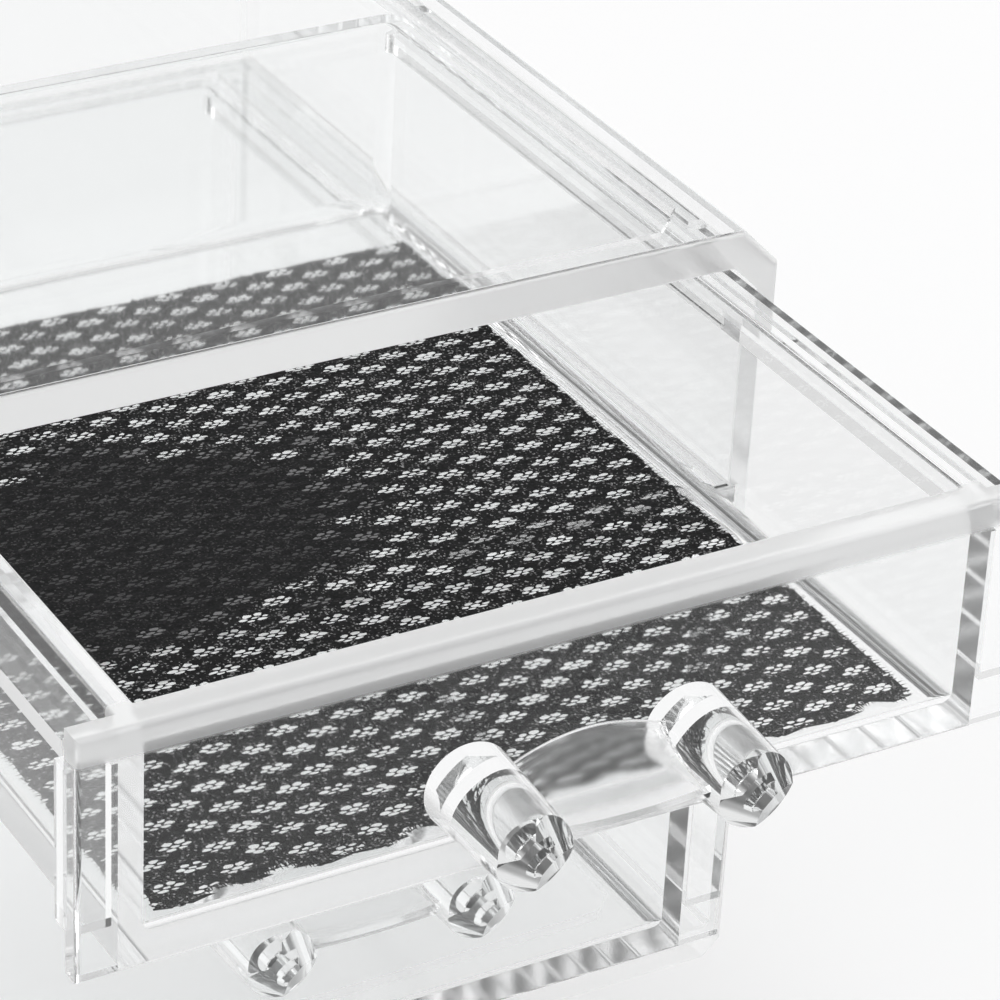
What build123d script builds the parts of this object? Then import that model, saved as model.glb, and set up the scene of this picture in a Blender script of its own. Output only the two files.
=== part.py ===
"""Clear two-drawer organizer box: a moulded sleeve with a shelf, a shallow
drawer over a deep one, bow handles with cut tips, and a black mesh liner.

Millimetres. The origin is the middle of the face that the case rests on,
+Z is up and the drawer fronts face -Y. The upper drawer is drawn pulled out.
"""
import os

from build123d import *

# Case
case_width = 120.4
case_depth = 135.0
wall = 2.8
top_cut = 5.0
foot_cut = 2.4
base_thick = 3.0
foot_height = 3.0
foot_width = 9.0
top_thick = 2.8
rim_height = 1.8
rim_side = 9.2
rim_front = 4.0
recess_cut = 5.0
back_thick = 3.0
edge_round = 0.6
upper_bay_height = 29.8
lower_bay_height = 61.4
shelf_thick = 3.0
shelf_setback = 0.4
groove_depth = 1.2

# Guide rails
rail_width = 5.0
rail_height = 2.0
rail_setback = 8.0
rail_lead = 1.2

# Fits
bond_gap = 0.08
run_gap = 0.4
stand_off = 1.5
side_gap = 1.0
stop_gap = 0.6
overrun = 1.0

# Drawers
flange_width = 4.6
tray_wall = 2.8
tray_floor = 2.6
tray_corner = 3.0
floor_round = 2.0
front_thick = 2.6
front_round = 0.6
rim_round = 0.4
bead_height = 3.2
bead_depth = 1.4
end_rib_width = 4.5
end_rib_depth = 2.4
end_rib_foot = 5.0
flange_thick = 2.5
flange_drop = 2.4
flange_round = 2.0
upper_opening = 53.0

# Handles
post_spacing = 26.2
post_base_diameter = 10.2
post_diameter = 8.8
post_length = 14.6
tip_table_long = 3.8
tip_table_short = 2.4
tip_depth = 1.1
spigot_side = 3.4
spigot_gap = 0.1
bow_thick = 1.8
bow_lip = 0.5
bow_back = 1.8
bow_front = 2.2
bow_back_rise = 2.6
bow_front_rise = 0.9
bow_arch = 2.3
bow_belly = 0.8
bow_dish = 0.9
bow_seat = 1.2
upper_handle_height = 11.2
lower_handle_height = 27.2

# Mesh liner
liner_thick = 1.2
liner_side_gap = 2.0
liner_front_gap = 1.0
liner_back_gap = 10.6
liner_lift = 0.1
gap_length = 4.0
gap_width = 2.8
gap_border = 2.4
gap_step_across = 7.9
gap_step_along = 5.5
gap_shoulder_share = 0.5

# Places that follow from the sizes above
inner_width = case_width - 2 * wall
inner_height = lower_bay_height + shelf_thick + upper_bay_height
cut_step = wall * (2 - 2 ** 0.5)
floor_level = foot_height + base_thick
shelf_level = floor_level + lower_bay_height
upper_level = shelf_level + shelf_thick
ceiling_level = upper_level + upper_bay_height
case_height = ceiling_level + top_thick + rim_height
front_face = -case_depth / 2
back_face = case_depth / 2 - back_thick

front_width = inner_width - 2 * run_gap
upper_height = upper_bay_height - 2 * run_gap
lower_height = lower_bay_height - 2 * run_gap
tray_length = back_face - stop_gap - front_face + stand_off
tray_width = inner_width - 2 * (side_gap + flange_width)
liner_width = tray_width - 2 * (tray_wall + liner_side_gap)
liner_length = tray_length - tray_wall - bead_depth - liner_front_gap - liner_back_gap
closed_y = front_face - stand_off


def cut_rectangle(width, height, cut):
    """A rectangle with all four corners cut at 45 degrees."""
    outline = Rectangle(width, height)
    return chamfer(outline.vertices(), cut)


def case_section():
    """The case's section: its top corners are cut more than its lower ones."""
    outline = Rectangle(case_width, case_height)
    outline = chamfer(outline.vertices().group_by(Axis.Y)[-1], top_cut)
    outline = chamfer(outline.vertices().group_by(Axis.Y)[0], foot_cut)
    return Pos(0, case_height / 2) * outline


def bay_section(shrink):
    """The opening inside the case, drawn in by a gap all round, its corners a wall inside the case's."""
    outline = Rectangle(inner_width - 2 * shrink, inner_height - 2 * shrink)
    outline = chamfer(outline.vertices().group_by(Axis.Y)[-1], top_cut - cut_step)
    outline = chamfer(outline.vertices().group_by(Axis.Y)[0], foot_cut - cut_step)
    return Pos(0, floor_level + inner_height / 2) * outline


def upright(y):
    """A drawing plane that stands across the case at y, facing the front."""
    return Plane(origin=(0, y, 0), x_dir=(1, 0, 0), z_dir=(0, -1, 0))


def block(x0, x1, y0, y1, z0, z1):
    """A box between two opposite corners."""
    middle = Pos((x0 + x1) / 2, (y0 + y1) / 2, (z0 + z1) / 2)
    return middle * Box(x1 - x0, y1 - y0, z1 - z0)


def make_sleeve():
    """The sleeve: one section run from front to back, recessed above and below."""
    body = extrude(upright(case_depth / 2) * case_section(), case_depth)
    body = fillet(body.faces().sort_by(Axis.Y)[0].edges(), edge_round)
    body -= extrude(upright(case_depth / 2 + overrun) * bay_section(0), case_depth + 2 * overrun)
    recess = cut_rectangle(case_width - 2 * rim_side, case_depth - 2 * rim_front, recess_cut)
    body -= extrude(Pos(0, 0, case_height - rim_height) * recess, rim_height + overrun)
    hollow = cut_rectangle(case_width - 2 * foot_width, case_depth - 2 * foot_width, recess_cut)
    body -= extrude(Pos(0, 0, -overrun) * hollow, foot_height + overrun)
    groove = inner_width / 2 + groove_depth
    body -= block(-groove, groove, front_face - overrun, back_face,
                  shelf_level - bond_gap, upper_level + bond_gap)
    return body


def make_back():
    """The back plate, bonded inside the rear end of the sleeve."""
    return extrude(upright(case_depth / 2) * bay_section(bond_gap), back_thick)


def make_shelf():
    """The shelf, with a rounded front edge and its sides in the grooves."""
    half = inner_width / 2 + groove_depth - bond_gap
    front = front_face + shelf_setback
    plate = block(-half, half, front, back_face - bond_gap, shelf_level, upper_level)
    lips = plate.edges().filter_by(Axis.X).group_by(Axis.Y)[0]
    return fillet(lips, edge_round)


def make_rail(side, ceiling):
    """A guide rail under a ceiling: its section follows the bay's cut corner, its lead end slopes."""
    outer = inner_width / 2 - bond_gap
    top = ceiling - bond_gap
    front = front_face + rail_setback
    section = Pos(outer - rail_width / 2, top - rail_height / 2) * Rectangle(rail_width, rail_height)
    rail = extrude(upright(back_face - bond_gap) * (section & bay_section(bond_gap)), back_face - bond_gap - front)
    lead = rail.edges().filter_by(Axis.X).group_by(Axis.Y)[0].sort_by(Axis.Z)[0]
    rail = chamfer(lead, rail_lead)
    return rail if side > 0 else mirror(rail, Plane.YZ)


def make_drawer(height, handle_height):
    """One drawer moulding: y = 0 is the back of its front, z = 0 its underside."""
    half = tray_width / 2
    body = block(-half, half, -front_thick / 2, tray_length, 0, height)
    body = fillet(body.edges().filter_by(Axis.Z).group_by(Axis.Y)[-1], tray_corner)
    hollow = block(-half + tray_wall, half - tray_wall, 0, tray_length - tray_wall,
                   tray_floor, height + overrun)
    hollow = fillet(hollow.edges().filter_by(Axis.Z).group_by(Axis.Y)[-1], tray_corner - tray_wall / 2)
    hollow = fillet(hollow.faces().sort_by(Axis.Z)[0].edges(), floor_round)
    body -= hollow

    top = height - flange_drop
    reach = half + flange_width
    wings = block(-reach, reach, 0, tray_length, top - flange_thick, top)
    wings = fillet(wings.edges().filter_by(Axis.Z).group_by(Axis.Y)[-1], flange_round)
    wings -= block(-half + tray_wall / 2, half - tray_wall / 2, -overrun, tray_length + overrun,
                   top - flange_thick - overrun, top + overrun)
    body += wings

    edge = front_width / 2
    face = block(-edge, edge, -front_thick, 0, 0, height)
    face = fillet(face.faces().sort_by(Axis.Y)[0].edges(), front_round)
    ribs = block(edge - end_rib_width, edge, 0, end_rib_depth, end_rib_foot, top - flange_thick)
    bead = block(-half + tray_wall / 2, half - tray_wall / 2, -front_thick / 2, bead_depth,
                 height - bead_height, height)
    bead = chamfer(bead.edges().filter_by(Axis.X).group_by(Axis.Y)[-1].sort_by(Axis.Z)[0],
                   bead_depth - rim_round)
    body = body + face + ribs + mirror(ribs, Plane.YZ) + bead
    rim = body.faces().sort_by(Axis.Z)[-1].edges()
    body = fillet([edge for edge in rim if edge.center().Y > 0], rim_round)

    bore = Plane(origin=(0, overrun, handle_height), x_dir=(1, 0, 0), z_dir=(0, -1, 0))
    for x in (-post_spacing / 2, post_spacing / 2):
        side = spigot_side + 2 * spigot_gap
        hole = Rot(0, 0, 45) * Rectangle(side, side)
        body -= extrude(bore * Pos(x, 0) * hole, front_thick + 2 * overrun)
    return body


def tip_roof(table):
    """Two facets that slope away from a table of the given width, as a prism across the post."""
    half = table / 2
    reach = half + (post_diameter / 2 - half) * post_length / tip_depth
    outline = Polygon((-reach, 0), (-half, -post_length), (half, -post_length), (reach, 0), align=None)
    return extrude(outline, post_diameter, both=True)


def make_post():
    """A handle post: a tapered round with a table and four facets cut on its tip, and a square spigot."""
    post = upright(-post_length / 2) * Cone(post_base_diameter / 2, post_diameter / 2, post_length)
    post = post & (Rot(0, 45, 0) * tip_roof(tip_table_long)) & (Rot(0, -45, 0) * tip_roof(tip_table_short))
    peg = Rot(0, 0, 45) * Rectangle(spigot_side, spigot_side)
    spigot = extrude(upright(front_thick) * peg, front_thick)
    return post + spigot


def bow_section(x, arch, belly):
    """A slice of the bow plate at x: a strip dished above, with bevelled lips, sloping down to the front."""
    back = Vector(x, -bow_back, bow_back_rise + arch)
    front = Vector(x, -post_length + bow_front, bow_front_rise - belly)
    along = (front - back).normalized()
    normal = Vector(0, along.Z, -along.Y)
    middle = (back + front) / 2
    inset = along * bow_lip
    step = normal * bow_lip
    drop = normal * bow_thick
    upper = ThreePointArc(back + inset, middle - normal * bow_dish, front - inset)
    rest = Polyline(front - inset, front - step, front - drop + step, front - drop - inset,
                    back - drop + inset, back - drop + step, back - step, back + inset)
    return Face(Wire([upper, *rest.edges()]))


def make_handle():
    """The handle: two posts with the dished bow plate between them."""
    reach = post_spacing / 2 - post_diameter / 2 + bow_seat
    bow = loft([bow_section(-reach, 0, 0), bow_section(0, bow_arch, bow_belly), bow_section(reach, 0, 0)])
    handle = bow
    for x in (-post_spacing / 2, post_spacing / 2):
        handle += Pos(x, 0, 0) * make_post()
    return handle


def make_liner():
    """The mesh liner: one face with staggered six-sided gaps, given its thickness."""
    outline = Wire.make_rect(liner_width, liner_length)
    columns = int((liner_width - 2 * gap_border) / gap_step_across)
    rows = int((liner_length - 2 * gap_border) / gap_step_along)
    pitch_x = (liner_width - 2 * gap_border) / columns
    pitch_y = (liner_length - 2 * gap_border) / rows
    shoulder = gap_length / 2 * gap_shoulder_share
    gaps = []
    for row in range(rows):
        stagger = row % 2
        y = (row - (rows - 1) / 2) * pitch_y
        for column in range(columns - stagger):
            x = (column - (columns - stagger - 1) / 2) * pitch_x
            outer = gap_length / 2
            rise = gap_width / 2
            gaps.append(Wire.make_polygon([
                (x - outer, y), (x - shoulder, y - rise), (x + shoulder, y - rise),
                (x + outer, y), (x + shoulder, y + rise), (x - shoulder, y + rise)]))
    return extrude(Face(outline, gaps), liner_thick, dir=(0, 0, 1))


upper_place = Pos(0, closed_y - upper_opening, upper_level + run_gap)
lower_place = Pos(0, closed_y, floor_level + run_gap)
upper_grip = upper_place * Pos(0, -front_thick - bond_gap, upper_handle_height)
lower_grip = lower_place * Pos(0, -front_thick - bond_gap, lower_handle_height)
liner_middle = liner_front_gap + bead_depth + liner_length / 2
liner_place = upper_place * Pos(0, liner_middle, tray_floor + liner_lift)

nodes = {
    "case_sleeve": make_sleeve(),
    "case_back": make_back(),
    "shelf": make_shelf(),
    "guide_rail_upper_left": make_rail(-1, ceiling_level),
    "guide_rail_upper_right": make_rail(1, ceiling_level),
    "guide_rail_lower_left": make_rail(-1, shelf_level),
    "guide_rail_lower_right": make_rail(1, shelf_level),
    "upper_drawer": upper_place * make_drawer(upper_height, upper_handle_height),
    "upper_handle": upper_grip * make_handle(),
    "mesh_liner": liner_place * make_liner(),
    "lower_drawer": lower_place * make_drawer(lower_height, lower_handle_height),
    "lower_handle": lower_grip * make_handle(),
}

os.makedirs("parts", exist_ok=True)
for name, solid in nodes.items():
    export_step(solid, f"parts/{name}.step")
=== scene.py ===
"""Dresses a clear two-drawer organizer box with plastic, mesh, stage and camera."""
import math
from functools import partial

import bpy
import numpy as np
from mathutils import Matrix, Vector
from mathutils.geometry import delaunay_2d_cdt


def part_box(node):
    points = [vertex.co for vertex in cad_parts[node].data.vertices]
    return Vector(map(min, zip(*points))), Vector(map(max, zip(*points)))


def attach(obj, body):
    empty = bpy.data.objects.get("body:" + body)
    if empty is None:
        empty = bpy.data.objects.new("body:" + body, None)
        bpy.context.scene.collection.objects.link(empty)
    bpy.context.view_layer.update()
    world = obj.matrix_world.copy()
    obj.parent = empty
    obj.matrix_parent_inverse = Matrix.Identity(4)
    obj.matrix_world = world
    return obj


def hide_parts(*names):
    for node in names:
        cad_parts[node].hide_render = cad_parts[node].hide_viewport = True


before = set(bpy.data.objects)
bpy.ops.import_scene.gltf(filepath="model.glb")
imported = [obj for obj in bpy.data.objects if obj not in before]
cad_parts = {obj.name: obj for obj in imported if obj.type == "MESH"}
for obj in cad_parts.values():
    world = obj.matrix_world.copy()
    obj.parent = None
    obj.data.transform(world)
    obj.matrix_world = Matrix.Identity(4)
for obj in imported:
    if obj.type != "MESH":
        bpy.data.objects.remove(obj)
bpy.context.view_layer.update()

bl_info = {
    "name": "Clear Drawer Organizer",
    "version": (1, 0, 0),
    "blender": (4, 5, 0),
    "location": "View3D > Sidebar > Organizer",
    "description": "Dresses a clear drawer organizer with plastic, mesh and a pale stage",
    "category": "Object",
}

MM = 0.001
CASE_NODES = ("case_sleeve", "case_back", "shelf", "guide_rail_upper_left", "guide_rail_upper_right",
              "guide_rail_lower_left", "guide_rail_lower_right")
DRAWER_NODES = ("upper_drawer", "lower_drawer")
HANDLE_NODES = ("upper_handle", "lower_handle")
LINER_LOW, LINER_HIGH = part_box("mesh_liner")

# Where each hazy zone of the plastic fades out
DISH_FADE = (7.0 * MM, 9.0 * MM)
RIM_DEPTH_FADE = (4.2 * MM, 4.6 * MM)
RIM_DROP_FADE = (3.8 * MM, 3.2 * MM)
END_DEPTH_FADE = (0.3 * MM, 0.6 * MM)

# Stretch of the scuffed streaks along x, y and z
CASE_STREAKS = (1.0, 0.05, 1.0)
DRAWER_STREAKS = (1.0, 0.07, 1.0)
HANDLE_STREAKS = (0.4, 1.0, 1.0)

# One group of holes in the mesh
HOLE_CENTRES = np.array([(0.0, 0.0), (1.36, 0.0), (-1.36, 0.0), (0.68, 0.52), (-0.68, 0.52), (0.68, -0.52),
                         (-0.68, -0.52)]) * MM
HOLE_REACH = np.array([0.59, 0.245]) * MM
HOLE_STEPS = 8
HOLE_TURN = 0.3
HOLE_SHAKE = 0.045 * MM
HOLE_GROWTH = (-0.3, 0.2)

# The patch of painted shade on the mesh: its holes are filled with dark colour and shrunk, standing in for
# the shade seen through them, and its yarn has fainter painted glints
PATCH_MIDDLE = np.array([-22.0, -53.0]) * MM
PATCH_REACH = np.array([37.0, 23.0]) * MM
PATCH_SLOPE = 1.5
PATCH_SHRINK = 0.2
HALF_SHADE_BELOW = 0.8
SHADED_GLINT = 0.2

# The torn front edge and the loose yarn ends of the mesh
TEAR_MEAN = 0.55 * MM
TEAR_SWING = 0.65 * MM
TEAR_LEAST = 0.1 * MM
SIDE_ENDS = 200
SIDE_ROOT = 0.25 * MM
FRONT_ENDS = 260
FRONT_ROOT = 0.16 * MM

# Heights of the mesh over the tray's floor
YARN_LIFT = 0.3 * MM
END_LIFT = 0.34 * MM
WAVE_HEIGHT = 0.12 * MM
KNIT_HEIGHT = 0.06 * MM

# The floor's half side, in metres
FLOOR_REACH = 20.0

# The white world: dim along the axes and in one high corner
AXIS_FADE = (0.93, 0.99)
AXIS_LEVEL = 0.45
CORNER_WAY = (-0.446, 0.742, 0.5)
CORNER_FADE = (0.90, 0.96)
CORNER_LEVEL = 0.20

# Each lamp's name, place, aim, size in metres and power in watts
LAMPS = (
    ("top_lamp", (-0.15, 0.10, 1.3), (0, -0.03, 0.05), 0.9, 6.0),
    ("left_lamp", (-1.2, -0.5, 0.8), (0, -0.05, 0.05), 0.8, 4.0),
    ("right_lamp", (1.2, 0.3, 0.7), (0, -0.05, 0.05), 0.7, 3.0),
)

# Light bounces, enough for the many walls of clear plastic
BOUNCES = 64

# What the camera looks at, and its offset to the right and upwards
CAMERA_TARGET = (0, -95 * MM, 85 * MM)
CAMERA_OFFSET = (6.52 * MM, 10.22 * MM)


class PlasticSettings(bpy.types.PropertyGroup):
    """The clear moulded plastic."""
    tint: bpy.props.FloatVectorProperty(
        name="Tint", description="Colour that the plastic lets through", subtype="COLOR",
        size=3, min=0.0, max=1.0, default=(0.992, 0.996, 0.996))
    ior: bpy.props.FloatProperty(
        name="Refraction", description="Index of refraction of the plastic", default=1.49, min=1.0, max=2.0)
    gloss: bpy.props.FloatProperty(
        name="Gloss", description="Share of the plain surface reflection that is kept",
        default=0.4, min=0.0, max=1.0)
    haze: bpy.props.FloatProperty(
        name="Haze", description="Roughness of the plain surface", default=0.032, min=0.0, max=1.0)
    scuff: bpy.props.FloatProperty(
        name="Scuff", description="Roughness of the scuffed streaks", default=0.055, min=0.0, max=1.0)
    dish_haze: bpy.props.FloatProperty(
        name="Dish haze", description="Extra roughness of the handles' dished plate",
        default=0.14, min=0.0, max=1.0)
    rim_haze: bpy.props.FloatProperty(
        name="Rim haze", description="Extra roughness of the rim of each drawer's front",
        default=0.35, min=0.0, max=1.0)
    # Painted light: the share of the upper drawer's rim that turns from clear to lit diffuse white
    rim_painted_light: bpy.props.FloatProperty(
        name="Rim painted light", description="Light that the rim of the upper drawer's front holds back",
        default=0.4, min=0.0, max=1.0)
    end_haze: bpy.props.FloatProperty(
        name="End haze", description="Extra roughness of the case's front end",
        default=0.35, min=0.0, max=1.0)
    ripple: bpy.props.FloatProperty(
        name="Ripple", description="Height of the moulding ripple", unit="LENGTH", default=0.04 * MM)


class LinerSettings(bpy.types.PropertyGroup):
    """The black mesh liner."""
    pitch_across: bpy.props.FloatProperty(
        name="Pitch across", description="Step of the hole groups along a row", unit="LENGTH",
        default=7.9 * MM)
    pitch_along: bpy.props.FloatProperty(
        name="Pitch along", description="Step between two rows in line", unit="LENGTH", default=4.15 * MM)
    colour: bpy.props.FloatVectorProperty(
        name="Yarn", description="Colour of the yarn", subtype="COLOR", size=3, min=0.0, max=1.0,
        default=(0.009, 0.009, 0.0095))
    # Painted shade: the dark colour that fills the holes inside the shaded patch
    shaded: bpy.props.FloatVectorProperty(
        name="Shaded", description="Colour of the matted holes", subtype="COLOR", size=3, min=0.0, max=1.0,
        default=(0.06, 0.06, 0.061))
    # Painted shade, lighter: the grey colour that fills the holes at the edge of the shaded patch
    half_shaded: bpy.props.FloatVectorProperty(
        name="Half shaded", description="Colour of the half closed holes round the matted ones", subtype="COLOR",
        size=3, min=0.0, max=1.0, default=(0.17, 0.17, 0.172))
    # Painted highlight: bright specks in the yarn's base colour stand in for glints of light on the fibres
    glint: bpy.props.FloatVectorProperty(
        name="Glint", description="Colour of the bright fibre specks", subtype="COLOR",
        size=3, min=0.0, max=1.0, default=(0.30, 0.30, 0.30))
    seed: bpy.props.IntProperty(name="Seed", description="Seed of the yarn's unevenness", default=7)


class StageSettings(bpy.types.PropertyGroup):
    """The floor, the light and the camera."""
    floor: bpy.props.FloatVectorProperty(
        name="Floor", description="Colour of the floor", subtype="COLOR", size=3, min=0.0, max=1.0,
        default=(0.42, 0.42, 0.4225))
    glow: bpy.props.FloatProperty(
        name="Glow", description="White that the floor shows to the camera and through the plastic",
        default=0.53, min=0.0)
    focal: bpy.props.FloatProperty(name="Lens", description="Focal length in millimetres", default=157.93)
    azimuth: bpy.props.FloatProperty(
        name="Azimuth", description="Camera's turn round the box", subtype="ANGLE",
        default=math.radians(-31.22))
    elevation: bpy.props.FloatProperty(
        name="Elevation", description="Camera's height over the horizon", subtype="ANGLE",
        default=math.radians(30.04))
    roll: bpy.props.FloatProperty(
        name="Roll", description="Camera's tilt", subtype="ANGLE", default=math.radians(3.01))
    distance: bpy.props.FloatProperty(
        name="Distance", description="Camera's distance from its target", unit="LENGTH",
        default=474.79 * MM)


def wire(tree, output, target):
    """Joins an output socket to an input socket."""
    tree.links.new(output, target)


def add_node(tree, kind, **values):
    """Adds a node and sets its properties."""
    node = tree.nodes.new(kind)
    for name, value in values.items():
        setattr(node, name, value)
    return node


def fresh_material(name):
    """A new material with an empty node tree and its output."""
    material = bpy.data.materials.new(name)
    material.use_nodes = True
    tree = material.node_tree
    tree.nodes.clear()
    return material, tree, add_node(tree, "ShaderNodeOutputMaterial")


def ramp(tree, source, low, high, low_value, high_value):
    """A Map Range node that carries low..high to low_value..high_value, clamped."""
    node = add_node(tree, "ShaderNodeMapRange")
    limits = {"From Min": low, "From Max": high, "To Min": low_value, "To Max": high_value}
    for name, value in limits.items():
        node.inputs[name].default_value = value
    wire(tree, source, node.inputs["Value"])
    return node.outputs["Result"]


def dish_zone(tree, coordinates):
    """One on the dished plate between a handle's two posts, zero on the posts."""
    parts = add_node(tree, "ShaderNodeSeparateXYZ")
    wire(tree, coordinates, parts.inputs["Vector"])
    offset = add_node(tree, "ShaderNodeMath", operation="ABSOLUTE")
    wire(tree, parts.outputs["X"], offset.inputs[0])
    return ramp(tree, offset.outputs["Value"], *DISH_FADE, 1.0, 0.0)


def rim_zone(tree, coordinates, drawer):
    """One on the thick rim along the top of a drawer's front, zero elsewhere."""
    low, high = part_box(drawer)
    parts = add_node(tree, "ShaderNodeSeparateXYZ")
    wire(tree, coordinates, parts.inputs["Vector"])
    near = ramp(tree, parts.outputs["Y"], *[low[1] + depth for depth in RIM_DEPTH_FADE], 1.0, 0.0)
    upper = ramp(tree, parts.outputs["Z"], *[high[2] - drop for drop in RIM_DROP_FADE], 0.0, 1.0)
    both = add_node(tree, "ShaderNodeMath", operation="MULTIPLY")
    wire(tree, near, both.inputs[0])
    wire(tree, upper, both.inputs[1])
    return both.outputs["Value"]


def end_zone(tree, coordinates):
    """One on the front end of the case, zero behind it."""
    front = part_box("case_sleeve")[0][1]
    parts = add_node(tree, "ShaderNodeSeparateXYZ")
    wire(tree, coordinates, parts.inputs["Vector"])
    return ramp(tree, parts.outputs["Y"], *[front + depth for depth in END_DEPTH_FADE], 1.0, 0.0)


def clear_plastic(name, settings, streak_scale, zone=None, zone_haze=0.0, zone_painted_light=0.0):
    """Clear plastic with faint scuffed streaks and moulding ripple, which lets lamp light pass.

    The zone, a function of the node tree and the coordinates, is hazier than the rest by zone_haze,
    and by the last argument lets less light through and shows that share as lit diffuse white: painted
    light that stands in for the bright look of a clear rim.
    """
    material, tree, output = fresh_material(name)
    place = add_node(tree, "ShaderNodeTexCoord")
    streaks = add_node(tree, "ShaderNodeMapping")
    streaks.inputs["Scale"].default_value = streak_scale
    wire(tree, place.outputs["Object"], streaks.inputs["Vector"])
    scuffs = add_node(tree, "ShaderNodeTexNoise")
    scuffs.inputs["Scale"].default_value = 400.0
    scuffs.inputs["Detail"].default_value = 4.0
    wire(tree, streaks.outputs["Vector"], scuffs.inputs["Vector"])
    ripple = add_node(tree, "ShaderNodeTexNoise")
    ripple.inputs["Scale"].default_value = 55.0
    ripple.inputs["Detail"].default_value = 1.0
    wire(tree, place.outputs["Object"], ripple.inputs["Vector"])
    bump = add_node(tree, "ShaderNodeBump")
    bump.inputs["Strength"].default_value = 0.25
    bump.inputs["Distance"].default_value = settings.ripple
    wire(tree, ripple.outputs["Fac"], bump.inputs["Height"])
    shader = add_node(tree, "ShaderNodeBsdfPrincipled")
    shader.inputs["Base Color"].default_value = (*settings.tint, 1.0)
    shader.inputs["IOR"].default_value = settings.ior
    shader.inputs["Specular Tint"].default_value = (*[settings.gloss] * 3, 1.0)
    shader.inputs["Transmission Weight"].default_value = 1.0
    wear = ramp(tree, scuffs.outputs["Fac"], 0.58, 0.85, settings.haze, settings.scuff)
    if zone:
        share = zone(tree, place.outputs["Object"])
        total = add_node(tree, "ShaderNodeMath", operation="MULTIPLY_ADD")
        wire(tree, share, total.inputs[0])
        total.inputs[1].default_value = zone_haze
        wire(tree, wear, total.inputs[2])
        wear = total.outputs["Value"]
        # Painted light: in the zone a share of the clear plastic turns to lit diffuse white
        if zone_painted_light:
            passed = ramp(tree, share, 0.0, 1.0, 1.0, 1.0 - zone_painted_light)
            wire(tree, passed, shader.inputs["Transmission Weight"])
    wire(tree, wear, shader.inputs["Roughness"])
    wire(tree, bump.outputs["Normal"], shader.inputs["Normal"])
    passing = add_node(tree, "ShaderNodeBsdfTransparent")
    path = add_node(tree, "ShaderNodeLightPath")
    either = add_node(tree, "ShaderNodeMath", operation="MAXIMUM")
    wire(tree, path.outputs["Is Shadow Ray"], either.inputs[0])
    wire(tree, path.outputs["Is Diffuse Ray"], either.inputs[1])
    mix = add_node(tree, "ShaderNodeMixShader")
    wire(tree, either.outputs["Value"], mix.inputs["Fac"])
    wire(tree, shader.outputs["BSDF"], mix.inputs[1])
    wire(tree, passing.outputs["BSDF"], mix.inputs[2])
    wire(tree, mix.outputs["Shader"], output.inputs["Surface"])
    return material


def dress(nodes, material):
    """Puts one material on the named CAD nodes."""
    for name in nodes:
        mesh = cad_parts[name].data
        mesh.materials.clear()
        mesh.materials.append(material)


def mesh_yarn(name, colour, glint):
    """Matt yarn: fine fibre grain in the bump and the roughness, and small specks of a second colour in the
    base colour, which on the plain yarn are painted glints.
    """
    material, tree, output = fresh_material(name)
    place = add_node(tree, "ShaderNodeTexCoord")
    grain = add_node(tree, "ShaderNodeTexNoise")
    grain.inputs["Scale"].default_value = 2600.0
    grain.inputs["Detail"].default_value = 2.0
    wire(tree, place.outputs["Object"], grain.inputs["Vector"])
    specks = add_node(tree, "ShaderNodeTexVoronoi")
    specks.inputs["Scale"].default_value = 4800.0
    wire(tree, place.outputs["Object"], specks.inputs["Vector"])
    chosen = add_node(tree, "ShaderNodeSeparateColor")
    wire(tree, specks.outputs["Color"], chosen.inputs["Color"])
    # Specks of the second colour mixed into the base colour: painted glints where that colour is bright
    blend = add_node(tree, "ShaderNodeMix", data_type="RGBA")
    blend.inputs["A"].default_value = (*colour, 1.0)
    blend.inputs["B"].default_value = (*glint, 1.0)
    wire(tree, ramp(tree, chosen.outputs["Red"], 0.86, 1.0, 0.0, 1.0), blend.inputs["Factor"])
    shader = add_node(tree, "ShaderNodeBsdfPrincipled")
    shader.inputs["Specular IOR Level"].default_value = 0.1
    wire(tree, blend.outputs["Result"], shader.inputs["Base Color"])
    wire(tree, ramp(tree, grain.outputs["Fac"], 0.3, 0.7, 0.55, 0.85), shader.inputs["Roughness"])
    bump = add_node(tree, "ShaderNodeBump")
    bump.inputs["Strength"].default_value = 0.8
    bump.inputs["Distance"].default_value = 0.08 * MM
    wire(tree, grain.outputs["Fac"], bump.inputs["Height"])
    wire(tree, bump.outputs["Normal"], shader.inputs["Normal"])
    wire(tree, shader.outputs["BSDF"], output.inputs["Surface"])
    return material


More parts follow.
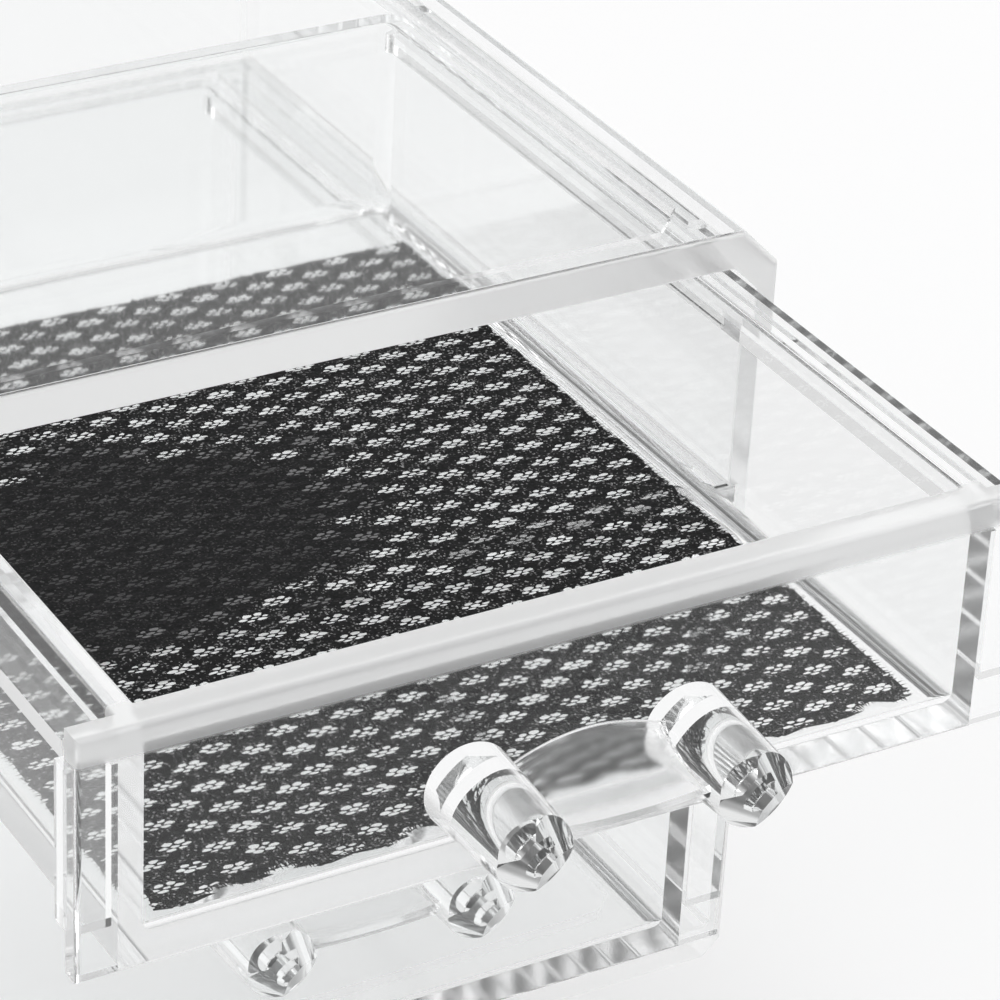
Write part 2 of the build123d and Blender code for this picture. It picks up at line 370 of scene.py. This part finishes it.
def hole_tile(width, height):
    """One tile of the net: a rectangle with seven oval holes, a ring of six round one.

    Hole k is centre + (a cos t, b sin t) for eight steps of t; the rest is triangulated. Returns the
    points, the triangles, which triangles fill a hole, and each point's hole and offset from its centre.
    """
    half_w, half_h = width / 2, height / 2
    rim = [(-half_w, -half_h), (0.0, -half_h), (half_w, -half_h),
           (half_w, half_h), (0.0, half_h), (-half_w, half_h)]
    turn = np.arange(HOLE_STEPS) * 2 * math.pi / HOLE_STEPS + HOLE_TURN
    oval = np.stack([np.cos(turn), np.sin(turn)], 1) * HOLE_REACH
    holes = (HOLE_CENTRES[:, None] + oval[None]).reshape(-1, 2)
    points = np.concatenate([np.array(rim), holes])
    starts = [len(rim) + HOLE_STEPS * k for k in range(len(HOLE_CENTRES))]
    loops = [list(range(len(rim)))] + [list(range(start, start + HOLE_STEPS)) for start in starts]
    edges = [pair for loop in loops for pair in zip(loop, loop[1:] + loop[:1])]
    result = delaunay_2d_cdt([Vector(p) for p in points / MM], edges, [], 0, 1e-5)
    flat = np.array([tuple(p) for p in result[0]]) * MM
    triangles = np.array([tuple(face) for face in result[2]])
    middle = flat[triangles].mean(1)
    inside = ((((middle[:, None] - HOLE_CENTRES[None]) / HOLE_REACH) ** 2).sum(2) < 0.8).any(1)
    apart = np.linalg.norm((flat[:, None] - HOLE_CENTRES[None]) / HOLE_REACH, axis=2)
    owner = apart.argmin(1)
    offset = np.where(apart.min(1)[:, None] < 1.01, flat - HOLE_CENTRES[owner], 0.0)
    return flat, triangles, inside, owner, offset


def shade_share(spot):
    """How surely the hole group at a spot is filled with painted shade: one inside the shaded patch, zero
    outside it.

    The patch is an ellipse from the left edge towards the middle, its long axis across the sheet.
    """
    away = (spot - PATCH_MIDDLE) / PATCH_REACH
    return np.clip(PATCH_SLOPE * (1.0 - np.linalg.norm(away, axis=1)) + 0.5, 0.0, 1.0)


def torn_front(x):
    """How far the torn front edge lies behind the straight one, at x across the sheet.

    A mean plus a swing of two sines, one of long and one of short waves, and never less than the least.
    """
    sines = np.sin(x / (3.1 * MM)) + np.sin(x / (1.27 * MM) + 1.0)
    return np.maximum(TEAR_MEAN + TEAR_SWING * sines, TEAR_LEAST)


def loose_ends(rng, half):
    """Yarn ends along the two sides and the front, as points of thin triangles that point outwards.

    End k starts at s_k along its edge. On the sides its root is 0.5 mm wide and its tip leans by up to
    0.4 mm, and at the front these are 0.32 mm and 0.3 mm.
    """
    along = np.linspace(-half[1] + 3 * MM, half[1] - 1 * MM, SIDE_ENDS)
    ends = []
    for side in (-1.0, 1.0):
        root = np.full_like(along, side * (half[0] - 2.0 * MM))
        tip = side * (half[0] - rng.uniform(0.02, 0.5, len(along)) * MM)
        lean = rng.uniform(-0.4, 0.4, len(along)) * MM
        spread = side * SIDE_ROOT
        ends.append([(root, along + spread), (root, along - spread), (tip, along + lean)])
    across = np.linspace(-half[0] + 2 * MM, half[0] - 2 * MM, FRONT_ENDS)
    front = -half[1] + torn_front(across)
    tip = np.maximum(front - rng.uniform(0.1, 0.7, len(across)) * MM, -half[1] + 0.05 * MM)
    lean = rng.uniform(-0.3, 0.3, len(across)) * MM
    root = front + 0.7 * MM
    ends.append([(across + FRONT_ROOT, root), (across - FRONT_ROOT, root), (across + lean, tip)])
    corners = [np.stack([np.stack(corner, 1) for corner in group], 1) for group in ends]
    return np.concatenate([group.reshape(-1, 2) for group in corners])


def net_sheet(settings):
    """The net as points, triangles and each triangle's kind.

    Kind 0 is plain yarn, 1 a hole filled with painted shade, 2 yarn inside the painted shade, with fainter
    painted glints, and 3 a hole at the shade's edge filled with lighter painted shade. Row r lies at
    r * height, moved half a tile on odd rows. Every hole is shrunk or widened by a random share of its
    offset, and shrunk more towards the painted shade, and its points are shaken. The surface is
    z = lift + wave * sin(x / p) * sin(y / q) + knit * cos(2 pi y / height). The sides are drawn in to
    a serrated line, the front is torn along a sum of sines, and loose yarn ends stand out all along.
    Triangles that the shaking overturned are turned back, so that all point upwards.
    """
    rng = np.random.default_rng(settings.seed)
    width, height = settings.pitch_across, settings.pitch_along / 2
    tile, triangles, hole, owner, offset = hole_tile(width, height)
    size = np.array(LINER_HIGH - LINER_LOW)
    middle = (np.array(LINER_HIGH) + np.array(LINER_LOW)) / 2
    columns = int(size[0] / width) + 3
    rows = int(size[1] / height) + 3
    row, column = np.meshgrid(np.arange(rows), np.arange(columns), indexing="ij")
    across = (column - columns / 2) * width + (row % 2) * width / 2
    along = (row - rows / 2) * height
    place = np.stack([across, along], -1).reshape(-1, 2)
    # Painted shade: hole groups inside the patch are filled with dark colour, those at its edge with
    # lighter grey, and the holes shrink towards it
    share = shade_share(place + middle[:2])
    in_shade = share > rng.uniform(0.3, 1.0, len(place))
    loose = (offset != 0.0).any(1)
    shake = rng.normal(0.0, HOLE_SHAKE, (len(place), len(tile), 2)) * loose[None, :, None]
    growth = rng.uniform(*HOLE_GROWTH, (len(place), len(HOLE_CENTRES))) - PATCH_SHRINK * share[:, None]
    growth = growth[:, owner, None]
    points = (place[:, None] + tile[None] + shake + growth * offset[None]).reshape(-1, 2)
    faces = (np.arange(len(place))[:, None, None] * len(tile) + triangles[None]).reshape(-1, 3)
    fills = np.tile(hole, len(place))
    shaded = np.repeat(in_shade, len(triangles))
    half_shaded = np.repeat(share < HALF_SHADE_BELOW, len(triangles))
    kinds = np.where(fills, np.where(half_shaded, 3, 1), np.where(shaded, 2, 0))
    stays = ~fills | shaded
    steps = np.round(points / (0.01 * MM)).astype(np.int64)
    _, first, back = np.unique(steps, axis=0, return_index=True, return_inverse=True)
    points = points[first]
    faces = back.reshape(-1)[faces]
    heart = points[faces].mean(1)
    half = size[:2] / 2
    stays &= (np.abs(heart[:, 0]) < half[0] - 0.1 * MM) & (heart[:, 1] < half[1] - 0.1 * MM)
    stays &= heart[:, 1] > -half[1] + torn_front(heart[:, 0])
    faces, kinds = faces[stays], kinds[stays]
    used, faces = np.unique(faces, return_inverse=True)
    points, faces = points[used], faces.reshape(-1, 3)
    side = half[0] - rng.uniform(0.5, 1.1, len(points)) * MM
    points[:, 0] = np.clip(points[:, 0], -side, side)
    points[:, 1] = np.minimum(points[:, 1], half[1] - rng.uniform(0.1, 0.8, len(points)) * MM)
    ends = loose_ends(rng, half)
    lift = np.concatenate([np.full(len(points), YARN_LIFT), np.full(len(ends), END_LIFT)])
    faces = np.concatenate([faces, np.arange(len(points), len(points) + len(ends)).reshape(-1, 3)])
    kinds = np.concatenate([kinds, np.zeros(len(ends) // 3, int)])
    x, y = np.concatenate([points, ends]).T
    (xa, xb, xc), (ya, yb, yc) = x[faces].T, y[faces].T
    overturned = (xb - xa) * (yc - ya) < (yb - ya) * (xc - xa)
    faces = np.where(overturned[:, None], faces[:, ::-1], faces)
    wave = WAVE_HEIGHT * np.sin(x / (17 * MM)) * np.sin(y / (23 * MM) + 0.7)
    knit = KNIT_HEIGHT * np.cos(2 * math.pi * y / height)
    z = LINER_LOW[2] + lift + wave + knit
    return np.stack([x + middle[0], y + middle[1], z], 1), faces, kinds


def mesh_object(name, points, faces):
    """A new mesh object at the origin, filled from arrays of points and triangles."""
    mesh = bpy.data.meshes.new(name)
    mesh.from_pydata(points.tolist(), [], faces.tolist())
    mesh.update()
    piece = bpy.data.objects.new(name, mesh)
    bpy.context.scene.collection.objects.link(piece)
    return piece


class ORGANIZER_OT_case(bpy.types.Operator):
    """Dress the case, its back, its shelf and its guide rails"""
    bl_idname = "organizer.case"
    bl_label = "Case"

    def execute(self, context):
        settings = context.scene.organizer_plastic
        sleeve = clear_plastic("clear_sleeve_plastic", settings, CASE_STREAKS, end_zone, settings.end_haze)
        dress(CASE_NODES[:1], sleeve)
        dress(CASE_NODES[1:], clear_plastic("clear_case_plastic", settings, CASE_STREAKS))
        return {"FINISHED"}


class ORGANIZER_OT_drawers(bpy.types.Operator):
    """Dress the two drawers"""
    bl_idname = "organizer.drawers"
    bl_label = "Drawers"

    def execute(self, context):
        settings = context.scene.organizer_plastic
        # Only the upper drawer's rim gets the painted light; the lower one's stays clear
        for drawer, painted_light in zip(DRAWER_NODES, (settings.rim_painted_light, 0.0)):
            zone = partial(rim_zone, drawer=drawer)
            name = f"clear_{drawer}_plastic"
            plastic = clear_plastic(name, settings, DRAWER_STREAKS, zone, settings.rim_haze, painted_light)
            dress([drawer], plastic)
        return {"FINISHED"}


class ORGANIZER_OT_handles(bpy.types.Operator):
    """Dress the two handles"""
    bl_idname = "organizer.handles"
    bl_label = "Handles"

    def execute(self, context):
        settings = context.scene.organizer_plastic
        name = "clear_handle_plastic"
        dress(HANDLE_NODES, clear_plastic(name, settings, HANDLE_STREAKS, dish_zone, settings.dish_haze))
        return {"FINISHED"}


class ORGANIZER_OT_liner(bpy.types.Operator):
    """Lay the black mesh liner in the upper drawer"""
    bl_idname = "organizer.liner"
    bl_label = "Mesh Liner"

    def execute(self, context):
        settings = context.scene.organizer_liner
        points, faces, kinds = net_sheet(settings)
        piece = mesh_object("mesh_sheet", points, faces)
        # Yarn inside the painted shade gets fainter painted glints, and its filled holes take the painted
        # shade colours
        faint = [SHADED_GLINT * c for c in settings.glint]
        for name, colour, glint in (
                ("black_mesh_yarn", settings.colour, settings.glint),
                ("shaded_hole_fill", settings.shaded, settings.colour),
                ("shaded_mesh_yarn", settings.colour, faint),
                ("half_shaded_hole_fill", settings.half_shaded, settings.colour)):
            piece.data.materials.append(mesh_yarn(name, colour, glint))
        piece.data.polygons.foreach_set("material_index", kinds.astype(np.int32))
        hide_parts("mesh_liner")
        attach(piece, "upper_drawer_body")
        return {"FINISHED"}


class ORGANIZER_OT_stage(bpy.types.Operator):
    """Set the floor, the light and the camera"""
    bl_idname = "organizer.stage"
    bl_label = "Stage"

    def execute(self, context):
        scene = context.scene
        settings = scene.organizer_stage
        lay_floor(settings)
        light_stage()
        place_camera(scene, settings)
        scene.view_settings.view_transform = "Standard"
        scene.cycles.max_bounces = BOUNCES
        scene.cycles.transmission_bounces = BOUNCES
        scene.cycles.glossy_bounces = BOUNCES
        scene.cycles.transparent_max_bounces = BOUNCES
        return {"FINISHED"}


def lay_floor(settings):
    """A wide pale floor under the foot, faintly uneven in colour, with about half its white as glow."""
    corners = np.array([(-1, -1, 0), (1, -1, 0), (1, 1, 0), (-1, 1, 0)]) * FLOOR_REACH
    floor = mesh_object("floor", corners, np.array([(0, 1, 2), (0, 2, 3)]))
    material, tree, output = fresh_material("pale_floor")
    place = add_node(tree, "ShaderNodeTexCoord")
    cloud = add_node(tree, "ShaderNodeTexNoise")
    cloud.inputs["Scale"].default_value = 3.0
    wire(tree, place.outputs["Object"], cloud.inputs["Vector"])
    blend = add_node(tree, "ShaderNodeMix", data_type="RGBA")
    blend.inputs["A"].default_value = (*settings.floor, 1.0)
    blend.inputs["B"].default_value = tuple(0.99 * c for c in settings.floor) + (1.0,)
    wire(tree, cloud.outputs["Fac"], blend.inputs["Factor"])
    shader = add_node(tree, "ShaderNodeBsdfPrincipled")
    shader.inputs["Roughness"].default_value = 0.6
    shader.inputs["Specular IOR Level"].default_value = 0.2
    wire(tree, blend.outputs["Result"], shader.inputs["Base Color"])
    glow = add_node(tree, "ShaderNodeEmission")
    path = add_node(tree, "ShaderNodeLightPath")
    clear = add_node(tree, "ShaderNodeMath", operation="MAXIMUM")
    wire(tree, path.outputs["Is Glossy Ray"], clear.inputs[0])
    wire(tree, path.outputs["Is Transmission Ray"], clear.inputs[1])
    seen = add_node(tree, "ShaderNodeMath", operation="MAXIMUM")
    wire(tree, path.outputs["Is Camera Ray"], seen.inputs[0])
    wire(tree, clear.outputs["Value"], seen.inputs[1])
    wire(tree, ramp(tree, seen.outputs["Value"], 0.0, 1.0, 0.0, settings.glow), glow.inputs["Strength"])
    lift = add_node(tree, "ShaderNodeAddShader")
    wire(tree, shader.outputs["BSDF"], lift.inputs[0])
    wire(tree, glow.outputs["Emission"], lift.inputs[1])
    wire(tree, lift.outputs["Shader"], output.inputs["Surface"])
    floor.data.materials.append(material)


def light_stage():
    """White all round, dimmer straight along the four axes and in one corner high up behind the box."""
    world = bpy.data.worlds.new("pale_studio")
    bpy.context.scene.world = world
    world.use_nodes = True
    tree = world.node_tree
    tree.nodes.clear()
    output = add_node(tree, "ShaderNodeOutputWorld")
    place = add_node(tree, "ShaderNodeTexCoord")
    heading = add_node(tree, "ShaderNodeVectorMath", operation="MULTIPLY")
    heading.inputs[1].default_value = (1.0, 1.0, 0.0)
    wire(tree, place.outputs["Generated"], heading.inputs[0])
    level_way = add_node(tree, "ShaderNodeVectorMath", operation="NORMALIZE")
    wire(tree, heading.outputs["Vector"], level_way.inputs[0])
    size = add_node(tree, "ShaderNodeVectorMath", operation="ABSOLUTE")
    wire(tree, level_way.outputs["Vector"], size.inputs[0])
    parts = add_node(tree, "ShaderNodeSeparateXYZ")
    wire(tree, size.outputs["Vector"], parts.inputs["Vector"])
    larger = add_node(tree, "ShaderNodeMath", operation="MAXIMUM")
    wire(tree, parts.outputs["X"], larger.inputs[0])
    wire(tree, parts.outputs["Y"], larger.inputs[1])
    flags = ramp(tree, larger.outputs["Value"], *AXIS_FADE, 1.0, AXIS_LEVEL)
    facing = add_node(tree, "ShaderNodeVectorMath", operation="DOT_PRODUCT")
    facing.inputs[1].default_value = CORNER_WAY
    wire(tree, place.outputs["Generated"], facing.inputs[0])
    corner = ramp(tree, facing.outputs["Value"], *CORNER_FADE, 1.0, CORNER_LEVEL)
    level = add_node(tree, "ShaderNodeMath", operation="MULTIPLY")
    wire(tree, flags, level.inputs[0])
    wire(tree, corner, level.inputs[1])
    room = add_node(tree, "ShaderNodeBackground")
    wire(tree, level.outputs["Value"], room.inputs["Strength"])
    wire(tree, room.outputs["Background"], output.inputs["Surface"])
    for name, spot, aim, width, power in LAMPS:
        lamp = bpy.data.lights.new(name, "AREA")
        lamp.shape = "SQUARE"
        lamp.size = width
        lamp.energy = power
        holder = bpy.data.objects.new(name, lamp)
        bpy.context.scene.collection.objects.link(holder)
        holder.location = spot
        holder.rotation_euler = (Vector(aim) - Vector(spot)).to_track_quat("-Z", "Y").to_euler()


def place_camera(scene, settings):
    """A camera turned round the drawer's front at the photograph's angle, with its small offset."""
    turn, rise, roll = settings.azimuth, settings.elevation, settings.roll
    back = Vector((math.sin(turn) * math.cos(rise), -math.cos(turn) * math.cos(rise), math.sin(rise)))
    level = Vector((0, 0, 1)).cross(back).normalized()
    upward = back.cross(level)
    right = math.cos(roll) * level + math.sin(roll) * upward
    up = -math.sin(roll) * level + math.cos(roll) * upward
    offset = CAMERA_OFFSET[0] * right + CAMERA_OFFSET[1] * up
    spot = Vector(CAMERA_TARGET) + offset + settings.distance * back
    data = bpy.data.cameras.new("view_camera")
    data.lens = settings.focal
    data.sensor_width = 36.0
    data.clip_start = 0.01
    camera = bpy.data.objects.new("view_camera", data)
    scene.collection.objects.link(camera)
    camera.matrix_world = Matrix.Translation(spot) @ Matrix((right, up, back)).transposed().to_4x4()
    scene.camera = camera


class ORGANIZER_PT_panel(bpy.types.Panel):
    """Lists the organizer's pieces"""
    bl_idname = "ORGANIZER_PT_panel"
    bl_label = "Organizer"
    bl_space_type = "VIEW_3D"
    bl_region_type = "UI"
    bl_category = "Organizer"

    def draw(self, context):
        for group, _ in GROUPS:
            settings = getattr(context.scene, group)
            for name in settings.__annotations__:
                self.layout.prop(settings, name)
        for operator in OPERATORS:
            self.layout.operator(operator.bl_idname)


OPERATORS = (ORGANIZER_OT_case, ORGANIZER_OT_drawers, ORGANIZER_OT_handles, ORGANIZER_OT_liner,
             ORGANIZER_OT_stage)
GROUPS = (("organizer_plastic", PlasticSettings), ("organizer_liner", LinerSettings),
          ("organizer_stage", StageSettings))


def register():
    """Registers the settings, the operators and the panel."""
    for name, group in GROUPS:
        bpy.utils.register_class(group)
        setattr(bpy.types.Scene, name, bpy.props.PointerProperty(type=group))
    for kind in (*OPERATORS, ORGANIZER_PT_panel):
        bpy.utils.register_class(kind)


def unregister():
    """Takes the panel, the operators and the settings away again."""
    for kind in reversed((*OPERATORS, ORGANIZER_PT_panel)):
        bpy.utils.unregister_class(kind)
    for name, group in reversed(GROUPS):
        delattr(bpy.types.Scene, name)
        bpy.utils.unregister_class(group)


def main():
    """Makes every piece and the stage."""
    register()
    bpy.ops.organizer.case()
    bpy.ops.organizer.drawers()
    bpy.ops.organizer.handles()
    bpy.ops.organizer.liner()
    bpy.ops.organizer.stage()


if __name__ == "__main__":
    main()
